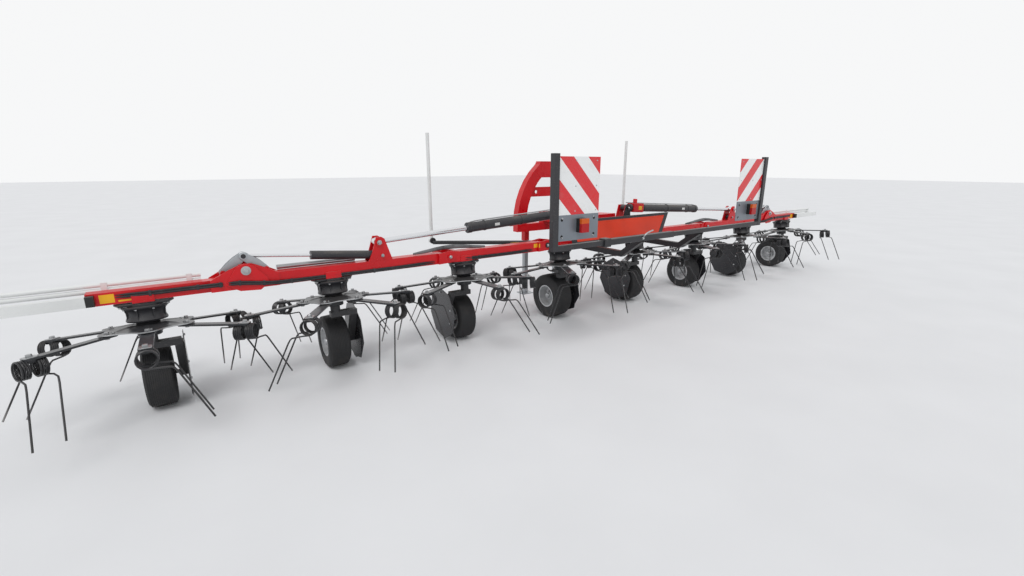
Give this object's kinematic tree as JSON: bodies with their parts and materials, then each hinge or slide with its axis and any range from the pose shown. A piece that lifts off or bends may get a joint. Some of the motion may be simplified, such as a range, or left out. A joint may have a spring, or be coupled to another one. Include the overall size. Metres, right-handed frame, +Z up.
{
  "type": "mounted rotary hay tedder",
  "caption": "Tractor-mounted rotary tedder in working position: folding beams, tined rotors on small wheels, swivelling headstock and warning boards.",
  "frame": {"origin": "on the ground under the middle of the whole machine, boards to hitch; the beams' centre line lies 54.5 mm behind it", "axes": "+X to the right along the beams seen from behind, +Y forward to the tractor, +Z up"},
  "size_m": [9.7, 2.077, 1.87],
  "materials": {
    "tyre": "black rubber, dusty, on black steel rims",
    "rotor_steel": "black paint, worn at the arms; spring steel tines",
    "black_steel": "black paint",
    "red_steel": "red powder paint",
    "white_steel": "white paint",
    "zinc_steel": "galvanised",
    "rod_chrome": "hard chrome"
  },
  "bodies": {
    "frame": {"centre_frame": "red_steel", "centre_gearboxes": "black_steel", "input_gearbox": "black_steel", "sign_plate": "black_steel", "board_carrier": "black_steel", "warning_boards": "white_steel", "lamp_plates": "zinc_steel"},
    "headstock": {"headstock": "red_steel", "arch": "red_steel"},
    "left_stand": {"left_stand": "zinc_steel"},
    "right_stand": {"right_stand": "zinc_steel"},
    "left_front_guard": {"left_front_guard": "white_steel"},
    "right_front_guard": {"right_front_guard": "white_steel"},
    "left_inner": {"left_inner_section": "red_steel", "left_inner_gearbox": "black_steel"},
    "left_middle": {"left_middle_section": "red_steel", "left_middle_gearbox": "black_steel"},
    "left_outer": {"left_outer_section": "red_steel", "left_outer_gearbox": "black_steel", "left_end_guard": "white_steel"},
    "left_main_barrel": {"left_main_barrel": "black_steel"},
    "left_main_rod": {"left_main_rod": "rod_chrome"},
    "left_outer_barrel": {"left_outer_barrel": "black_steel"},
    "left_outer_rod": {"left_outer_rod": "rod_chrome"},
    "left_beam_link": {"left_beam_link": "zinc_steel"},
    "left_outer_link": {"left_outer_link": "zinc_steel"},
    "right_inner": {"right_inner_section": "red_steel", "right_inner_gearbox": "black_steel"},
    "right_middle": {"right_middle_section": "red_steel", "right_middle_gearbox": "black_steel"},
    "right_outer": {"right_outer_section": "red_steel", "right_outer_gearbox": "black_steel", "right_end_guard": "white_steel"},
    "right_main_barrel": {"right_main_barrel": "black_steel"},
    "right_main_rod": {"right_main_rod": "rod_chrome"},
    "right_outer_barrel": {"right_outer_barrel": "black_steel"},
    "right_outer_rod": {"right_outer_rod": "rod_chrome"},
    "right_beam_link": {"right_beam_link": "zinc_steel"},
    "right_outer_link": {"right_outer_link": "zinc_steel"},
    "rotor_1": {"rotor_1": "rotor_steel"},
    "rotor_2": {"rotor_2": "rotor_steel"},
    "rotor_3": {"rotor_3": "rotor_steel"},
    "rotor_4": {"rotor_4": "rotor_steel"},
    "rotor_5": {"rotor_5": "rotor_steel"},
    "rotor_6": {"rotor_6": "rotor_steel"},
    "rotor_7": {"rotor_7": "rotor_steel"},
    "rotor_8": {"rotor_8": "rotor_steel"},
    "wheel_1": {"wheel_1": "tyre"},
    "wheel_2": {"wheel_2": "tyre"},
    "wheel_3": {"wheel_3": "tyre"},
    "wheel_4": {"wheel_4": "tyre"},
    "wheel_5": {"wheel_5": "tyre"},
    "wheel_6": {"wheel_6": "tyre"},
    "wheel_7": {"wheel_7": "tyre"},
    "wheel_8": {"wheel_8": "tyre"}
  },
  "joints": [
    {"name": "headstock_swivel", "type": "hinge", "parent": "frame", "child": "headstock", "pos_m": [0, 0.3755, 0.955], "axis": [0, 0, 1], "range_deg": [-15, 15]},
    {"name": "left_stand_slide", "type": "slide", "parent": "headstock", "child": "left_stand", "axis": [0, 0, 1], "range_m": [0, 0.42]},
    {"name": "left_front_guard_fold", "type": "hinge", "parent": "frame", "child": "left_front_guard", "pos_m": [-1.485, 0.9655, 0.77], "axis": [0, -1, 0], "range_deg": [0, 90]},
    {"name": "left_inner_fold", "type": "hinge", "parent": "frame", "child": "left_inner", "pos_m": [-0.79, -0.0545, 0.8], "axis": [0, 1, 0], "range_deg": [-3, 80]},
    {"name": "left_middle_fold", "type": "hinge", "parent": "left_inner", "child": "left_middle", "pos_m": [-1.85, -0.0545, 0.8], "axis": [0, 1, 0], "range_deg": [-3, 3]},
    {"name": "left_outer_fold", "type": "hinge", "parent": "left_middle", "child": "left_outer", "pos_m": [-3.375, -0.0545, 0.874], "axis": [0, 1, 0], "range_deg": [-3, 170]},
    {"name": "left_main_barrel_pin", "type": "hinge", "parent": "frame", "child": "left_main_barrel", "pos_m": [-0.35, -0.0545, 1.1], "axis": [0, 1, 0], "range_deg": [-3.2, 71.7]},
    {"name": "left_main_rod_slide", "type": "slide", "parent": "left_main_barrel", "child": "left_main_rod", "axis": [-0.9982, 0, -0.0594], "range_m": [-0.6337, 0.0276]},
    {"name": "left_outer_barrel_pin", "type": "hinge", "parent": "left_middle", "child": "left_outer_barrel", "pos_m": [-2.43, -0.0545, 0.872], "axis": [0, 1, 0], "range_deg": [-3.7, 0.6]},
    {"name": "left_outer_rod_slide", "type": "slide", "parent": "left_outer_barrel", "child": "left_outer_rod", "axis": [-0.9953, 0, 0.0969], "range_m": [-0.297, 0.0082]},
    {"name": "left_beam_link_pin", "type": "hinge", "parent": "left_middle", "child": "left_beam_link", "pos_m": [-3.245, -0.0545, 0.864], "axis": [0, 1, 0], "range_deg": [-2.8, 130.5]},
    {"name": "left_outer_link_pin", "type": "hinge", "parent": "left_outer", "child": "left_outer_link", "pos_m": [-3.505, -0.0545, 0.864], "axis": [0, 1, 0], "range_deg": [-130.5, 2.8]},
    {"name": "right_stand_slide", "type": "slide", "parent": "headstock", "child": "right_stand", "axis": [0, 0, 1], "range_m": [0, 0.42]},
    {"name": "right_front_guard_fold", "type": "hinge", "parent": "frame", "child": "right_front_guard", "pos_m": [1.485, 0.9655, 0.77], "axis": [0, 1, 0], "range_deg": [0, 90]},
    {"name": "right_inner_fold", "type": "hinge", "parent": "frame", "child": "right_inner", "pos_m": [0.79, -0.0545, 0.8], "axis": [0, -1, 0], "range_deg": [-3, 80]},
    {"name": "right_middle_fold", "type": "hinge", "parent": "right_inner", "child": "right_middle", "pos_m": [1.85, -0.0545, 0.8], "axis": [0, -1, 0], "range_deg": [-3, 3]},
    {"name": "right_outer_fold", "type": "hinge", "parent": "right_middle", "child": "right_outer", "pos_m": [3.375, -0.0545, 0.874], "axis": [0, -1, 0], "range_deg": [-3, 170]},
    {"name": "right_main_barrel_pin", "type": "hinge", "parent": "frame", "child": "right_main_barrel", "pos_m": [0.35, -0.0545, 1.1], "axis": [0, -1, 0], "range_deg": [-3.2, 71.7]},
    {"name": "right_main_rod_slide", "type": "slide", "parent": "right_main_barrel", "child": "right_main_rod", "axis": [0.9982, 0, -0.0594], "range_m": [-0.6337, 0.0276]},
    {"name": "right_outer_barrel_pin", "type": "hinge", "parent": "right_middle", "child": "right_outer_barrel", "pos_m": [2.43, -0.0545, 0.872], "axis": [0, -1, 0], "range_deg": [-3.7, 0.6]},
    {"name": "right_outer_rod_slide", "type": "slide", "parent": "right_outer_barrel", "child": "right_outer_rod", "axis": [0.9953, 0, 0.0969], "range_m": [-0.297, 0.0082]},
    {"name": "right_beam_link_pin", "type": "hinge", "parent": "right_middle", "child": "right_beam_link", "pos_m": [3.245, -0.0545, 0.864], "axis": [0, -1, 0], "range_deg": [-2.8, 130.5]},
    {"name": "right_outer_link_pin", "type": "hinge", "parent": "right_outer", "child": "right_outer_link", "pos_m": [3.505, -0.0545, 0.864], "axis": [0, -1, 0], "range_deg": [-130.5, 2.8]},
    {"name": "rotor_1_spin", "type": "hinge", "parent": "left_outer", "child": "rotor_1", "pos_m": [-3.9375, -0.0545, 0.585], "axis": [0, 0.1219, 0.9925], "continuous": true},
    {"name": "rotor_2_spin", "type": "hinge", "parent": "left_middle", "child": "rotor_2", "pos_m": [-2.8125, -0.0545, 0.585], "axis": [0, 0.1219, 0.9925], "continuous": true},
    {"name": "rotor_3_spin", "type": "hinge", "parent": "left_inner", "child": "rotor_3", "pos_m": [-1.6875, -0.0545, 0.585], "axis": [0, 0.1219, 0.9925], "continuous": true},
    {"name": "rotor_4_spin", "type": "hinge", "parent": "frame", "child": "rotor_4", "pos_m": [-0.5625, -0.0545, 0.585], "axis": [0, 0.1219, 0.9925], "continuous": true},
    {"name": "rotor_5_spin", "type": "hinge", "parent": "frame", "child": "rotor_5", "pos_m": [0.5625, -0.0545, 0.585], "axis": [0, 0.1219, 0.9925], "continuous": true},
    {"name": "rotor_6_spin", "type": "hinge", "parent": "right_inner", "child": "rotor_6", "pos_m": [1.6875, -0.0545, 0.585], "axis": [0, 0.1219, 0.9925], "continuous": true},
    {"name": "rotor_7_spin", "type": "hinge", "parent": "right_middle", "child": "rotor_7", "pos_m": [2.8125, -0.0545, 0.585], "axis": [0, 0.1219, 0.9925], "continuous": true},
    {"name": "rotor_8_spin", "type": "hinge", "parent": "right_outer", "child": "rotor_8", "pos_m": [3.9375, -0.0545, 0.585], "axis": [0, 0.1219, 0.9925], "continuous": true},
    {"name": "wheel_1_spin", "type": "hinge", "parent": "left_outer", "child": "wheel_1", "pos_m": [-3.9375, 0.0655, 0.205], "axis": [1, 0, 0], "continuous": true},
    {"name": "wheel_2_spin", "type": "hinge", "parent": "left_middle", "child": "wheel_2", "pos_m": [-2.8125, 0.0655, 0.205], "axis": [1, 0, 0], "continuous": true},
    {"name": "wheel_3_spin", "type": "hinge", "parent": "left_inner", "child": "wheel_3", "pos_m": [-1.6875, 0.0655, 0.205], "axis": [1, 0, 0], "continuous": true},
    {"name": "wheel_4_spin", "type": "hinge", "parent": "frame", "child": "wheel_4", "pos_m": [-0.5625, 0.0655, 0.225], "axis": [1, 0, 0], "continuous": true},
    {"name": "wheel_5_spin", "type": "hinge", "parent": "frame", "child": "wheel_5", "pos_m": [0.5625, 0.0655, 0.225], "axis": [1, 0, 0], "continuous": true},
    {"name": "wheel_6_spin", "type": "hinge", "parent": "right_inner", "child": "wheel_6", "pos_m": [1.6875, 0.0655, 0.205], "axis": [1, 0, 0], "continuous": true},
    {"name": "wheel_7_spin", "type": "hinge", "parent": "right_middle", "child": "wheel_7", "pos_m": [2.8125, 0.0655, 0.205], "axis": [1, 0, 0], "continuous": true},
    {"name": "wheel_8_spin", "type": "hinge", "parent": "right_outer", "child": "wheel_8", "pos_m": [3.9375, 0.0655, 0.205], "axis": [1, 0, 0], "continuous": true}
  ],
  "couplings": [
    {"joint": "left_main_barrel_pin", "follows": "left_inner_fold", "ratio": 0.89062},
    {"joint": "left_main_rod_slide", "follows": "left_inner_fold", "m_per_rad": -0.45099},
    {"joint": "left_outer_barrel_pin", "follows": "left_outer_fold", "ratio": -0.01862},
    {"joint": "left_outer_rod_slide", "follows": "left_outer_fold", "m_per_rad": -0.0991},
    {"joint": "left_beam_link_pin", "follows": "left_outer_fold", "ratio": 0.76454},
    {"joint": "left_outer_link_pin", "follows": "left_outer_fold", "ratio": -0.76454},
    {"joint": "right_main_barrel_pin", "follows": "right_inner_fold", "ratio": 0.89062},
    {"joint": "right_main_rod_slide", "follows": "right_inner_fold", "m_per_rad": -0.45099},
    {"joint": "right_outer_barrel_pin", "follows": "right_outer_fold", "ratio": -0.01862},
    {"joint": "right_outer_rod_slide", "follows": "right_outer_fold", "m_per_rad": -0.0991},
    {"joint": "right_beam_link_pin", "follows": "right_outer_fold", "ratio": 0.76454},
    {"joint": "right_outer_link_pin", "follows": "right_outer_fold", "ratio": -0.76454},
    {"joint": "rotor_1_spin", "follows": "rotor_5_spin", "ratio": 1},
    {"joint": "rotor_2_spin", "follows": "rotor_5_spin", "ratio": -1},
    {"joint": "rotor_3_spin", "follows": "rotor_5_spin", "ratio": 1},
    {"joint": "rotor_4_spin", "follows": "rotor_5_spin", "ratio": -1},
    {"joint": "rotor_6_spin", "follows": "rotor_5_spin", "ratio": -1},
    {"joint": "rotor_7_spin", "follows": "rotor_5_spin", "ratio": 1},
    {"joint": "rotor_8_spin", "follows": "rotor_5_spin", "ratio": -1}
  ]
}
